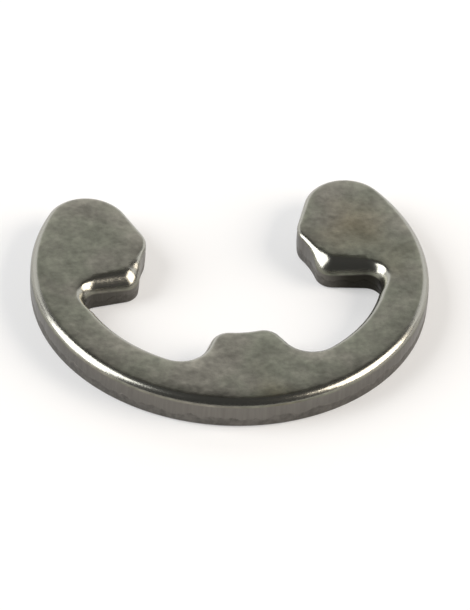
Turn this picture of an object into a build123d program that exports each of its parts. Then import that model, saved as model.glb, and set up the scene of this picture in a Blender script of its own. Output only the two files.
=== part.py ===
from build123d import *
import math
import os

os.makedirs("parts", exist_ok=True)

# An e clip, or E-type retaining ring: one flat stamping of spring steel that is pushed sideways
# onto a grooved pin. The open ring is the spring, and three lugs inside it grip the groove.
# The origin is on the groove's axis, in the lower face. +Z is up and +Y points out of the mouth.
# Lengths are in millimetres and angles in degrees.

# Strip and ring
outer_radius = 3.55  # the ring as it lies free, before it is sprung onto a pin
thickness = 0.6
web_depth = 0.97  # across the web behind the centre lug, where it is deepest
recess_offset = 0.16  # shifts the round recess towards the mouth, so the web thins along each arm

# Lugs, whose tips lie on the bottom of the pin's groove
groove_radius = 1.6
centre_lug_width = 0.98  # across its tip
centre_lug_spread = 35  # slope of each flank away from the Y axis, widening to the root
side_lug_height = 0.1  # the lower corner of each side lug's tip, above the groove's axis
side_lug_fall = 7  # slope of each side lug's lower flank, falling outwards

# Mouth between the prongs
mouth_snap = 0.56  # how much narrower the sharp mouth is than the groove, so that it holds the pin
mouth_flare = 20  # slope of each prong's inner edge away from the Y axis

# Corners of the outline
prong_radius = 0.75
lug_corner_radius = 0.28
lug_root_radius = 0.5
notch_radius = 0.28

# Edges of the stamping
die_roll_radius = 0.13  # upper edge, drawn down as the punch enters
burr_radius = 0.04  # lower edge, tumbled free of its burr

recess_radius = outer_radius - web_depth + recess_offset
mouth_width = 2 * groove_radius - mouth_snap

# Two corners share each flank, so neither may be rounder than the flank has room for.
side_flank = recess_radius - groove_radius
centre_flank = side_flank - recess_offset
flank_corner_limit = 0.4 * side_flank
lug_root_limit = 0.8 * centre_flank


def height_on_groove(x):
    """The height above the X axis at which the groove's circle passes x."""
    return math.sqrt(groove_radius**2 - x**2)


def slope(angle):
    return math.tan(math.radians(angle))


def on_circle(radius, centre_y=0):
    """A test that picks the corners lying on a circle about a point of the Y axis."""
    return lambda corner: math.isclose(math.hypot(corner.X, corner.Y - centre_y), radius, abs_tol=1e-6)


# The lower flanks of the side lugs meet like a roof: its ridge is on the Y axis, and its eaves
# are level with the outer radius.
side_lug_tip = height_on_groove(side_lug_height)
ridge = side_lug_height + side_lug_tip * slope(side_lug_fall)
eaves = ridge - outer_radius * slope(side_lug_fall)

# The flanks of the centre lug spread from a peak on the Y axis.
centre_lug_tip = -height_on_groove(centre_lug_width / 2)
peak = centre_lug_tip + centre_lug_width / 2 / slope(centre_lug_spread)
base_half_width = (peak + outer_radius) * slope(centre_lug_spread)

# The mouth widens from the X axis outwards, through its throat on the groove's circle.
throat_height = height_on_groove(mouth_width / 2)
mouth_inner_half = mouth_width / 2 - throat_height * slope(mouth_flare)
mouth_outer_half = mouth_inner_half + outer_radius * slope(mouth_flare)

# What is cut from inside the ring: a recess with room left for three lugs, whose tips are cut
# to the groove's circle, and the mouth.
with BuildSketch() as opening:
    with Locations((0, recess_offset)):
        Circle(recess_radius)
    Polygon(
        (0, ridge),
        (-outer_radius, eaves),
        (-outer_radius, outer_radius),
        (outer_radius, outer_radius),
        (outer_radius, eaves),
        align=None,
        mode=Mode.SUBTRACT,
    )
    Polygon(
        (0, peak),
        (-base_half_width, -outer_radius),
        (base_half_width, -outer_radius),
        align=None,
        mode=Mode.SUBTRACT,
    )
    Circle(groove_radius)
    Polygon(
        (-mouth_inner_half, 0),
        (mouth_inner_half, 0),
        (mouth_outer_half, outer_radius),
        (-mouth_outer_half, outer_radius),
        align=None,
    )

with BuildPart() as e_clip:
    with BuildSketch() as outline:
        Circle(outer_radius)
        add(opening.sketch, mode=Mode.SUBTRACT)
        prongs = outline.vertices().filter_by(on_circle(outer_radius))
        fillet(prongs, prong_radius)
        lug_corners = outline.vertices().filter_by(on_circle(groove_radius))
        fillet(lug_corners, min(lug_corner_radius, flank_corner_limit))
        # The highest corners on the recess are the notches under the side lugs, and the lowest
        # are the roots of the centre lug.
        on_recess = on_circle(recess_radius, recess_offset)
        notches = outline.vertices().filter_by(on_recess).group_by(Axis.Y)[-1]
        fillet(notches, min(notch_radius, flank_corner_limit))
        lug_roots = outline.vertices().filter_by(on_recess).group_by(Axis.Y)[0]
        fillet(lug_roots, min(lug_root_radius, lug_root_limit))
    extrude(amount=thickness)
    fillet(e_clip.faces().sort_by(Axis.Z)[-1].edges(), die_roll_radius)
    fillet(e_clip.faces().sort_by(Axis.Z)[0].edges(), burr_radius)

e_clip.part.label = "e_clip"
export_step(e_clip.part, "parts/e_clip.step")
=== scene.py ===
from math import atan2, ceil, cos, degrees, pi, radians, sin, sqrt, tan

import bmesh
import bpy
from mathutils import Matrix, Quaternion, Vector
from mathutils.bvhtree import BVHTree
from mathutils.geometry import intersect_line_sphere_2d, intersect_point_line


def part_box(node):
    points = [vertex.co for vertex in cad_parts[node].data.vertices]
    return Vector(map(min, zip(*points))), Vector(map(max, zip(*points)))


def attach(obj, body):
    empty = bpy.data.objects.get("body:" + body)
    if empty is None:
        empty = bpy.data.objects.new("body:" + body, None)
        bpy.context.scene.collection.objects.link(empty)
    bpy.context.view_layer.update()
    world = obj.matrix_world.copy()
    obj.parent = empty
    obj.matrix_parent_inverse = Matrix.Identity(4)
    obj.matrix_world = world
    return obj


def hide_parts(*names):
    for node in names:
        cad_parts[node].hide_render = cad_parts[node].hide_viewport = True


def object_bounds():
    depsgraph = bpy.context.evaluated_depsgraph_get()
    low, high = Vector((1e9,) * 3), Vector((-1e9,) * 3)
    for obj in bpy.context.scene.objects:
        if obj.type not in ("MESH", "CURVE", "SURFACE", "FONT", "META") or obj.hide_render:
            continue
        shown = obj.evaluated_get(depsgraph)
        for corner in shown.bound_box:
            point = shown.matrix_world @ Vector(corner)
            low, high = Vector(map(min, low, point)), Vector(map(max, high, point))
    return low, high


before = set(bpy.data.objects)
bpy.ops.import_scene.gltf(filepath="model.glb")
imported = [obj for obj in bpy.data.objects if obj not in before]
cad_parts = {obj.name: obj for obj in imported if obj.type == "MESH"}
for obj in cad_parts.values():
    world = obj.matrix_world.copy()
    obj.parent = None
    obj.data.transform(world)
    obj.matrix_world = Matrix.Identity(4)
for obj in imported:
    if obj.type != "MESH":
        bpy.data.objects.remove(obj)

cad_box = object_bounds()

# The e clip. One stamping of hardened spring steel, pushed sideways onto a grooved pin: an open
# ring, with three lugs inside it that bear on the bottom of the groove. It is punched from strip,
# which draws its upper edge down into a roll, and is then tumbled until its edges shine.

# Its sizes are in millimetres and its angles in degrees, until the mesh is scaled at the end.
MILLIMETRE = 0.001

low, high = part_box("e_clip")
outer_radius = (high.x - low.x) / 2 / MILLIMETRE
thickness = (high.z - low.z) / MILLIMETRE
groove_radius = 1.6
web_depth = 0.97
recess_offset = 0.16
mouth_width = 2.64
mouth_flare = 20
side_lug_height = -0.02
side_lug_fall = 8
centre_lug_width = 0.98
centre_lug_spread = 29

prong_radius = 0.75
throat_radius = 0.5
side_lug_radius = 0.32
centre_lug_radius = 0.36
lug_root_radius = 0.5
notch_radius = 0.28

roll_radius = 0.145  # the upper edge, drawn down as the punch enters
lug_roll_width = 0.4  # the same along the side lugs, where the punch draws the edge down most
lug_roll_depth = 0.3
lug_reach = 0.45  # how far from a lug's flank the deeper roll is felt
throat_roll = 0.06  # the roll at the throat of the mouth, where it is slight
throat_reach = 0.75
crown_width = 0.4  # how far in from the wall the upper face starts to fall towards the roll
crown_depth = 0.025
burr_radius = 0.04
break_height = 0.22  # the wall is sheared smooth above this, and torn below it
break_taper = 0.012  # how far the torn part of the wall falls back

hub = Vector((0, 0))
recess_hub = Vector((0, recess_offset))
recess_radius = outer_radius - web_depth + recess_offset


def direction(angle):
    """A unit vector at an angle anticlockwise from +X."""
    return Vector((cos(radians(angle)), sin(radians(angle))))


def heading(vector):
    """The angle of a vector, anticlockwise from +X."""
    return degrees(atan2(vector.y, vector.x))


def arc_centre(point, angle, side, radius, circle_centre, reach):
    """The centre of the arc that rounds a straight edge into a circle. The edge passes through
    point at the angle, and the arc is to its left where side is 1, or to its right where it is
    -1. reach is the distance of the arc's centre from the circle's."""
    start = point + side * radius * direction(angle + 90)
    crossings = intersect_line_sphere_2d(
        start, start + direction(angle), circle_centre, reach, False
    )
    return max(crossings, key=direction(angle).dot)


throat = Vector((mouth_width / 2, sqrt(groove_radius**2 - mouth_width**2 / 4)))
mouth_angle = 90 - mouth_flare
prong = arc_centre(throat, mouth_angle, -1, prong_radius, hub, outer_radius - prong_radius)
throat_arc = arc_centre(throat, mouth_angle, -1, throat_radius, hub, groove_radius + throat_radius)

side_tip = Vector((sqrt(groove_radius**2 - side_lug_height**2), side_lug_height))
side_arc = arc_centre(
    side_tip, -side_lug_fall, 1, side_lug_radius, hub, groove_radius + side_lug_radius
)
notch = arc_centre(
    side_tip, -side_lug_fall, -1, notch_radius, recess_hub, recess_radius - notch_radius
)

centre_tip = Vector((centre_lug_width / 2, -sqrt(groove_radius**2 - centre_lug_width**2 / 4)))
flank_angle = centre_lug_spread - 90
root = arc_centre(
    centre_tip, flank_angle, 1, lug_root_radius, recess_hub, recess_radius - lug_root_radius
)
centre_arc = arc_centre(
    centre_tip, flank_angle, -1, centre_lug_radius, hub, groove_radius + centre_lug_radius
)

# The right half of the outline, anticlockwise from the bottom: each arc's centre and radius, and
# the directions from its centre in which it starts and ends.
arcs = (
    (hub, outer_radius, -90, heading(prong)),
    (prong, prong_radius, heading(prong), mouth_angle + 90),
    (throat_arc, throat_radius, mouth_angle + 90, heading(-throat_arc) + 360),
    (hub, groove_radius, heading(throat_arc), heading(side_arc)),
    (side_arc, side_lug_radius, heading(-side_arc) + 360, 270 - side_lug_fall),
    (notch, notch_radius, 90 - side_lug_fall, heading(notch - recess_hub)),
    (recess_hub, recess_radius, heading(notch - recess_hub), heading(root - recess_hub)),
    (root, lug_root_radius, heading(root - recess_hub), flank_angle - 90),
    (centre_arc, centre_lug_radius, flank_angle + 90, heading(-centre_arc)),
    (hub, groove_radius, heading(centre_arc), -90),
)
longest_step = 0.06  # no edge round an arc is longer than this
widest_turn = 6  # or turns further than this
merge_gap = 1e-4

# A straight edge joins the end of each arc to the start of the next. Where the two arcs touch it
# has no length, and it is merged away with the seam of the mirrored half.
clip_mesh = bmesh.new()
end = None
for centre, radius, first, last in arcs:
    start = clip_mesh.verts.new((centre + radius * direction(first)).to_3d())
    if end:
        clip_mesh.edges.new((end, start))
    sweep = radians(last - first)
    end = bmesh.ops.spin(
        clip_mesh,
        geom=[start],
        cent=centre.to_3d(),
        axis=(0, 0, 1),
        angle=sweep,
        steps=ceil(abs(sweep) * max(1 / radians(widest_turn), radius / longest_step)),
    )["geom_last"][0]
bmesh.ops.mirror(
    clip_mesh,
    geom=clip_mesh.verts[:] + clip_mesh.edges[:],
    matrix=Matrix.Identity(4),
    axis="X",
    merge_dist=merge_gap,
)
bmesh.ops.remove_doubles(clip_mesh, verts=clip_mesh.verts[:], dist=merge_gap)

# The outline is raised into the smooth band of the wall, and the band is closed by two faces.
band_top = thickness - crown_depth - roll_radius
bmesh.ops.translate(clip_mesh, verts=clip_mesh.verts[:], vec=(0, 0, break_height))
lower_rim = clip_mesh.edges[:]
raised = bmesh.ops.extrude_edge_only(clip_mesh, edges=lower_rim)["geom"]
upper_verts = [part for part in raised if isinstance(part, bmesh.types.BMVert)]
upper_rim = [part for part in raised if isinstance(part, bmesh.types.BMEdge)]
bmesh.ops.translate(clip_mesh, verts=upper_verts, vec=(0, 0, band_top - break_height))
wall = BVHTree.FromBMesh(clip_mesh)
lower_face = bmesh.ops.edgeloop_fill(clip_mesh, edges=lower_rim)["faces"][0]
upper_face = bmesh.ops.edgeloop_fill(clip_mesh, edges=upper_rim)["faces"][0]
bmesh.ops.recalc_face_normals(clip_mesh, faces=clip_mesh.faces[:])


def quarter_turn(radius, steps):
    """The steps round a quarter circle: how far in each one goes, and how far along."""
    angles = [radians(90 * step / steps) for step in range(steps + 1)]
    return [
        (radius * (cos(near) - cos(far)), radius * (sin(far) - sin(near)))
        for near, far in zip(angles, angles[1:])
    ]


# Below the band, the torn part of the wall falls back a little, to a tumbled burr. Flat rings
# inside each rounded edge keep the shading of the face beyond it even.
flat_ring = 0.03
burr_rings = 4
lower_steps = [(break_taper, break_height - burr_radius)]
lower_steps += quarter_turn(burr_radius, burr_rings) + [(flat_ring, 0)]
for inwards, downwards in lower_steps:
    bmesh.ops.inset_region(
        clip_mesh, faces=[lower_face], thickness=inwards, depth=downwards, use_even_offset=True
    )

# Above it, the upper face is divided: into rings beside the wall, and into squares further in.
roll_rings = 8
flat_rings = 3
roll_widths = [inwards for inwards, along in quarter_turn(roll_radius, roll_rings)]
for inwards in roll_widths + [flat_ring] * flat_rings:
    bmesh.ops.inset_region(clip_mesh, faces=[upper_face], thickness=inwards, use_even_offset=True)
square = 0.06
cut_gap = 1e-5  # points nearer than this to a cut lie on it
sliver = 0.01  # edges shorter than this are taken out, so that no face is a sliver
inner_faces = [upper_face]
for axis in (Vector((1, 0, 0)), Vector((0, 1, 0))):
    for line in range(ceil(-outer_radius / square), ceil(outer_radius / square)):
        inner_edges = {edge for face in inner_faces for edge in face.edges}
        inner_verts = {vert for face in inner_faces for vert in face.verts}
        cut = bmesh.ops.bisect_plane(
            clip_mesh,
            geom=inner_faces + list(inner_edges) + list(inner_verts),
            dist=cut_gap,
            plane_co=axis * (line + 0.5) * square,
            plane_no=axis,
        )["geom"]
        inner_faces = [part for part in cut if isinstance(part, bmesh.types.BMFace)]
inner_edges = {edge for face in inner_faces for edge in face.edges}
bmesh.ops.dissolve_degenerate(clip_mesh, dist=sliver, edges=list(inner_edges))


def nearness(spot, start, end, reach):
    """1 on the line from start to end, fading to 0 at a distance of reach from it."""
    share = intersect_point_line(spot, start, end)[1]
    nearest = start.lerp(end, min(max(share, 0), 1))
    return max(1 - ((spot - nearest).length / reach) ** 2, 0)


# Each point of the upper face then falls, by its distance from the wall. The roll is deepest on
# the lower flanks of the side lugs, and slight at the throat of the mouth.
band_middle = (break_height + band_top) / 2
middle_inset = 0.3  # points further than this from the wall are smoothed afterwards
middle_verts = []
for vert in clip_mesh.verts:
    if vert.co.z > band_top - merge_gap:
        inset = wall.find_nearest((vert.co.x, vert.co.y, band_middle))[3]
        spot = Vector((abs(vert.co.x), vert.co.y))
        at_lug = nearness(spot, side_tip, notch, lug_reach)
        at_throat = nearness(spot, throat, prong, throat_reach)
        width = roll_radius + (lug_roll_width - roll_radius) * at_lug
        depth = roll_radius + (lug_roll_depth - roll_radius) * at_lug
        width += (throat_roll - width) * at_throat
        depth += (throat_roll - depth) * at_throat
        crown = crown_depth * max(1 - inset / crown_width, 0) ** 2
        short = max(1 - inset / width, 0)
        vert.co.z = thickness - crown - depth * (1 - sqrt(max(1 - short**2, 0)))
        if inset > middle_inset:
            middle_verts.append(vert)

# The crease where the falls from two sides meet, along the middle of each arm, is smoothed out.
smoothing_turns = 3
for turn in range(smoothing_turns):
    bmesh.ops.smooth_vert(clip_mesh, verts=middle_verts, factor=0.5, use_axis_z=True)
for face in clip_mesh.faces:
    face.smooth = True
bmesh.ops.scale(clip_mesh, verts=clip_mesh.verts[:], vec=(MILLIMETRE, MILLIMETRE, MILLIMETRE))

clip = bpy.data.objects.new("spring_clip", bpy.data.meshes.new("spring_clip"))
clip_mesh.to_mesh(clip.data)
clip_mesh.free()
bpy.context.scene.collection.objects.link(clip)


def linear(hex_colour):
    """A colour written as sRGB hex, as the shader's linear red, green, blue and alpha."""
    channels = [int(hex_colour[i : i + 2], 16) / 255 for i in (1, 3, 5)]
    return [c / 12.92 if c <= 0.04045 else ((c + 0.055) / 1.055) ** 2.4 for c in channels] + [1]


def add(material, kind, inputs, **settings):
    """Adds a node with its settings, and gives its outputs. An input is a value, or the output
    that is linked to it."""
    node = material.node_tree.nodes.new(kind)
    for name, value in settings.items():
        setattr(node, name, value)
    for name, value in inputs.items():
        if isinstance(value, bpy.types.NodeSocket):
            material.node_tree.links.new(value, node.inputs[name])
        else:
            node.inputs[name].default_value = value
    return node.outputs


# Tumbled spring steel: bare carbon steel under the thin olive film of its tempering oil. It is
# a half-matt dark metal with a fine mottle, brighter and smoother where the tumbling stones
# rubbed it, round the upper edge. On Mix nodes, sockets 0, 6, 7 and output 2 are the factor, the
# two colours and their mix, and sockets 0, 2, 3 and output 0 are the same for two numbers.
steel = bpy.data.materials.new("tumbled_spring_steel")
steel.use_nodes = True
surface = steel.node_tree.nodes["Principled BSDF"]
surface.inputs["Metallic"].default_value = 1

where = add(steel, "ShaderNodeTexCoord", {})
per_mm = add(
    steel, "ShaderNodeVectorMath", {0: where["Object"], "Scale": 1 / MILLIMETRE}, operation="SCALE"
)[0]
place = add(steel, "ShaderNodeSeparateXYZ", {0: per_mm})
facing = add(steel, "ShaderNodeSeparateXYZ", {0: where["Normal"]})["Z"]

# The film lies in soft patches 1 to 2 mm wide, neutral to olive, with a browner tint here and
# there. The tint's W picks where its patches lie.
patches = add(
    steel, "ShaderNodeTexNoise", {"Vector": per_mm, "Scale": 0.7, "Detail": 3, "Roughness": 0.6}
)[0]
olive = add(
    steel,
    "ShaderNodeMapRange",
    {"Value": patches, "From Min": 0.38, "From Max": 0.64},
    interpolation_type="SMOOTHSTEP",
)[0]
film = add(
    steel, "ShaderNodeMix", {0: olive, 6: linear("#7e7b71"), 7: linear("#797a6d")}, data_type="RGBA"
)[2]
heat = add(
    steel,
    "ShaderNodeTexNoise",
    {"Vector": per_mm, "Scale": 0.45, "Detail": 2, "W": 1.3},
    noise_dimensions="4D",
)[0]
brown = add(
    steel,
    "ShaderNodeMapRange",
    {"Value": heat, "From Min": 0.54, "From Max": 0.74},
    interpolation_type="SMOOTHSTEP",
)[0]
tinted = add(
    steel, "ShaderNodeMix", {0: brown, 6: film, 7: linear("#736b57")}, data_type="RGBA"
)[2]

# Tumbling leaves overlapping dents about 0.1 mm wide, in clouds about 0.3 mm wide.
grain = add(
    steel, "ShaderNodeTexNoise", {"Vector": per_mm, "Scale": 8, "Detail": 4, "Roughness": 0.6}
)[0]
grain_shade = add(
    steel,
    "ShaderNodeMapRange",
    {"Value": grain, "From Min": 0.3, "From Max": 0.7, "To Min": 0.82, "To Max": 1.18},
)[0]
cloud = add(
    steel, "ShaderNodeTexNoise", {"Vector": per_mm, "Scale": 3, "Detail": 2, "Roughness": 0.6}
)[0]
cloud_shade = add(
    steel,
    "ShaderNodeMapRange",
    {"Value": cloud, "From Min": 0.3, "From Max": 0.7, "To Min": 0.8, "To Max": 1.2},
)[0]
mottle = add(steel, "ShaderNodeMath", {0: grain_shade, 1: cloud_shade}, operation="MULTIPLY")[0]
mottled = add(steel, "ShaderNodeVectorMath", {0: tinted, "Scale": mottle}, operation="SCALE")[0]

# It also wears the film off the rounded upper edge, which is brighter and smoother for it.
above = add(
    steel,
    "ShaderNodeMapRange",
    {"Value": facing, "From Min": 0.99, "From Max": 0.91},
    interpolation_type="SMOOTHSTEP",
)[0]
below = add(
    steel,
    "ShaderNodeMapRange",
    {"Value": facing, "From Min": 0.2, "From Max": 0.5},
    interpolation_type="SMOOTHSTEP",
)[0]
worn = add(steel, "ShaderNodeMath", {0: above, 1: below}, operation="MULTIPLY")[0]
edged = add(
    steel, "ShaderNodeMix", {0: worn, 6: mottled, 7: linear("#94938b")}, data_type="RGBA"
)[2]

# The wall has drawn streaks in its sheared band, and a torn band below a wavy border.
on_wall = add(
    steel,
    "ShaderNodeMapRange",
    {"Value": facing, "From Min": 0.2, "From Max": 0.05},
    interpolation_type="SMOOTHSTEP",
)[0]
drawn = add(steel, "ShaderNodeVectorMath", {0: per_mm, 1: (1, 1, 0.06)}, operation="MULTIPLY")[0]
streaks = add(
    steel, "ShaderNodeTexNoise", {"Vector": drawn, "Scale": 16, "Detail": 3, "Roughness": 0.6}
)[0]
wave = add(steel, "ShaderNodeTexNoise", {"Vector": drawn, "Scale": 3.5, "Detail": 3})[0]
border = add(
    steel,
    "ShaderNodeMapRange",
    {
        "Value": wave,
        "From Min": 0.3,
        "From Max": 0.7,
        "To Min": break_height - 0.08,
        "To Max": break_height + 0.05,
    },
)[0]
under_border = add(steel, "ShaderNodeMath", {0: border, 1: place["Z"]}, operation="SUBTRACT")[0]
torn_height = add(
    steel,
    "ShaderNodeMapRange",
    {"Value": under_border, "From Min": -0.02, "From Max": 0.02},
    interpolation_type="SMOOTHSTEP",
)[0]
torn = add(steel, "ShaderNodeMath", {0: torn_height, 1: on_wall}, operation="MULTIPLY")[0]
streak_shade = add(
    steel,
    "ShaderNodeMapRange",
    {"Value": streaks, "From Min": 0.3, "From Max": 0.7, "To Min": 0.88, "To Max": 1.06},
)[0]
torn_shade = add(
    steel,
    "ShaderNodeMapRange",
    {"Value": grain, "From Min": 0.35, "From Max": 0.65, "To Min": 0.65, "To Max": 1},
)[0]
band_shade = add(steel, "ShaderNodeMix", {0: torn, 2: streak_shade, 3: torn_shade})[0]
bare = linear("#73706b")[:3]
wall_colour = add(
    steel, "ShaderNodeVectorMath", {0: bare, "Scale": band_shade}, operation="SCALE"
)[0]
walled = add(steel, "ShaderNodeMix", {0: on_wall, 6: edged, 7: wall_colour}, data_type="RGBA")[2]

# Painted shade: the walls in and round the notches are darkened towards near-black, shade painted
# into the colour where the notches are sheltered from the lamps, more of it on the right.
side = add(steel, "ShaderNodeMath", {0: place["X"]}, operation="ABSOLUTE")[0]
folded = add(steel, "ShaderNodeCombineXYZ", {0: side, 1: place["Y"]})[0]
from_notch = add(
    steel, "ShaderNodeVectorMath", {0: folded, 1: (notch.x, notch.y, 0)}, operation="DISTANCE"
)["Value"]
near_notch = add(
    steel,
    "ShaderNodeMapRange",
    {"Value": from_notch, "From Min": 1, "From Max": 0.35},
    interpolation_type="SMOOTHSTEP",
)[0]
# The painted notch shade grows heavier towards the right.
darker_on_right = add(
    steel,
    "ShaderNodeMapRange",
    {
        "Value": place["X"],
        "From Min": -groove_radius,
        "From Max": groove_radius,
        "To Min": 0.6,
        "To Max": 1,
    },
)[0]
notch_shade_depth = add(steel, "ShaderNodeMath", {0: near_notch, 1: darker_on_right}, operation="MULTIPLY")[0]
# The painted notch shade, laid on the walls only (the name scale here means this painted shade).
scale = add(steel, "ShaderNodeMath", {0: notch_shade_depth, 1: on_wall}, operation="MULTIPLY")[0]
finished = add(
    steel, "ShaderNodeMix", {0: scale, 6: walled, 7: linear("#2e2c26")}, data_type="RGBA"
)[2]
steel.node_tree.links.new(finished, surface.inputs["Base Color"])

film_roughness = add(
    steel,
    "ShaderNodeMapRange",
    {"Value": patches, "From Min": 0.35, "From Max": 0.65, "To Min": 0.28, "To Max": 0.36},
)[0]
worn_roughness = add(steel, "ShaderNodeMix", {0: worn, 2: film_roughness, 3: 0.23})[0]
roughness = add(steel, "ShaderNodeMix", {0: torn, 2: worn_roughness, 3: 0.5})[0]
steel.node_tree.links.new(roughness, surface.inputs["Roughness"])

# Heights are in metres: dents 3 microns deep, drawn streaks 4, and the torn grain 15.
dents = add(steel, "ShaderNodeBump", {"Height": grain, "Distance": 3e-6})[0]
streak_height = add(steel, "ShaderNodeMath", {0: streaks, 1: on_wall}, operation="MULTIPLY")[0]
streaked = add(
    steel, "ShaderNodeBump", {"Height": streak_height, "Distance": 4e-6, "Normal": dents}
)[0]
torn_relief = add(steel, "ShaderNodeMath", {0: grain, 1: torn}, operation="MULTIPLY")[0]
relief = add(
    steel, "ShaderNodeBump", {"Height": torn_relief, "Distance": 1.5e-5, "Normal": streaked}
)[0]
steel.node_tree.links.new(relief, surface.inputs["Normal"])

clip.data.materials.append(steel)
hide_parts("e_clip")
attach(clip, "root")

# The floor. A sheet of matt white card, far larger than the view, just under the clip. The eye
# and the steel see it a third of the way to pure white, so that it is a clean ground.
floor_size = 3  # in metres, as the gap is
floor_gap = 0.00001
whitening = 0.33
floor_mesh = bmesh.new()
bmesh.ops.create_grid(floor_mesh, x_segments=1, y_segments=1, size=floor_size)
bmesh.ops.translate(floor_mesh, verts=floor_mesh.verts[:], vec=(0, 0, -floor_gap))
floor = bpy.data.objects.new("floor", bpy.data.meshes.new("floor"))
floor_mesh.to_mesh(floor.data)
floor_mesh.free()
bpy.context.scene.collection.objects.link(floor)

card = bpy.data.materials.new("white_card")
card.use_nodes = True
matt = card.node_tree.nodes["Principled BSDF"]
matt.inputs["Base Color"].default_value = linear("#eeeeee")
matt.inputs["Roughness"].default_value = 0.9
matt.inputs["Specular IOR Level"].default_value = 0
rays = add(card, "ShaderNodeLightPath", {})
direct = add(card, "ShaderNodeMath", {0: rays["Is Camera Ray"], 1: rays["Is Glossy Ray"]})[0]
seen = add(card, "ShaderNodeMath", {0: direct, 1: rays["Is Transmission Ray"]}, use_clamp=True)[0]
share = add(card, "ShaderNodeMath", {0: seen, 1: whitening}, operation="MULTIPLY")[0]
white = add(card, "ShaderNodeEmission", {"Color": linear("#ffffff"), "Strength": 1})[0]
lifted = add(card, "ShaderNodeMixShader", {0: share, 1: matt.outputs[0], 2: white})[0]
card.node_tree.links.new(lifted, card.node_tree.nodes["Material Output"].inputs["Surface"])
floor.data.materials.append(card)

# The light. A softbox on either side draws the bright lines along the rounded edges, and a low
# panel behind is what the flat upper face mirrors. The camera sees none of the three.
camera_azimuth = -11.2
softbox_distance = 0.5  # in metres


def aim(thing, azimuth, elevation, distance, centre):
    """Puts a thing at a distance from the centre, looking at it. Azimuths count from the web's
    side of the clip, and are positive to the right of it."""
    turn, rise = radians(azimuth), radians(elevation)
    outwards = Vector((sin(turn) * cos(rise), -cos(turn) * cos(rise), sin(rise)))
    thing.location = centre + outwards * distance
    thing.rotation_mode = "QUATERNION"
    thing.rotation_quaternion = (-outwards).to_track_quat("-Z", "Y")


def softbox(name, azimuth, elevation, width, height, radiance, colour):
    """A panel of light. Its width and height are the angles that it fills, seen from the clip,
    and its azimuth counts from the camera's."""
    lamp = bpy.data.lights.new(name, "AREA")
    lamp.shape = "RECTANGLE"
    lamp.size = 2 * softbox_distance * tan(radians(width / 2))
    lamp.size_y = 2 * softbox_distance * tan(radians(height / 2))
    lamp.color = linear(colour)[:3]
    lamp.energy = radiance * pi * lamp.size * lamp.size_y
    box = bpy.data.objects.new(name, lamp)
    box.visible_camera = False
    bpy.context.scene.collection.objects.link(box)
    aim(box, camera_azimuth + azimuth, elevation, softbox_distance, Vector((0, 0, 0)))


softbox(
    "softbox_left", azimuth=-85, elevation=29, width=44, height=52, radiance=5.5, colour="#ffffff"
)
softbox(
    "softbox_right", azimuth=86, elevation=28, width=44, height=40, radiance=6.8, colour="#fff5e9"
)
softbox(
    "back_panel", azimuth=180, elevation=22, width=124, height=44, radiance=1.33, colour="#ffffff"
)

world = bpy.data.worlds.new("studio")
bpy.context.scene.world = world
world.use_nodes = True
world.node_tree.nodes["Background"].inputs["Color"].default_value = linear("#ffffff")
world.node_tree.nodes["Background"].inputs["Strength"].default_value = 0.09

# The camera. A long lens from a little left of the mouth's axis, looking down on the clip, with
# the web in front and the prongs behind. The clip fills most of the frame's width.
frame_shape = 470 / 610  # the width of the frame over its height, which the sensor's width spans
clip_share = 0.85
camera_elevation = 41.3
camera_roll = 3.35
camera = bpy.data.objects.new("camera", bpy.data.cameras.new("camera"))
bpy.context.scene.collection.objects.link(camera)
bpy.context.scene.camera = camera
camera.data.lens = 800
middle = (cad_box[0] + cad_box[1]) / 2
frame_width = frame_shape * camera.data.sensor_width
camera_distance = camera.data.lens * (high.x - low.x) / (clip_share * frame_width)
aim(camera, camera_azimuth, camera_elevation, camera_distance, middle)
camera.rotation_quaternion = camera.rotation_quaternion @ Quaternion((0, 0, 1), radians(camera_roll))
bpy.context.scene.view_settings.view_transform = "Standard"
